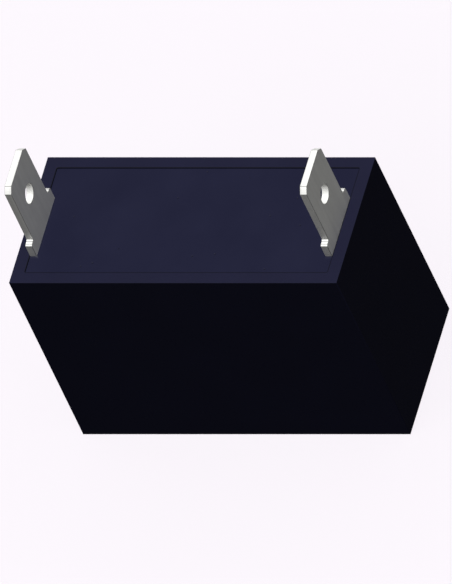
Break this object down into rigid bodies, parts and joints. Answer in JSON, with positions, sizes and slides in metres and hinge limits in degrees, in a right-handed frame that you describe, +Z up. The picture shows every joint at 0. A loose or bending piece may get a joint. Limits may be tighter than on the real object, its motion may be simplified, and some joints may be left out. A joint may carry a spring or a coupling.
{
  "type": "motor run capacitor",
  "caption": "Box-type motor run capacitor: a black moulded case filled with resin, with a flat quick-connect blade standing at each end.",
  "frame": {"origin": "centre of the case's flat underside", "axes": "+Z up, out of the filled mouth, the way the terminals point; +X along the case, from the left terminal to the right one; +Y across it, from the side that the terminals stand nearer to towards the other"},
  "size_m": [0.0376, 0.017, 0.0357],
  "materials": {
    "case_plastic": "fine moulded satin, black",
    "potting_resin": "cast resin, black, low gloss",
    "tinned_brass": "matt tin plate on stamped brass",
    "metallised_film": "satin, metallised film",
    "wrap_film": "clear film, several turns",
    "sprayed_zinc": "rough sprayed metal, grey",
    "solder": "smooth solder"
  },
  "bodies": {
    "root": {"case": "case_plastic", "potting": "potting_resin", "left_terminal": "tinned_brass", "right_terminal": "tinned_brass", "film_winding": "metallised_film", "winding_wrap": "wrap_film", "left_end_spray": "sprayed_zinc", "right_end_spray": "sprayed_zinc", "left_solder": "solder", "right_solder": "solder"}
  },
  "joints": []
}
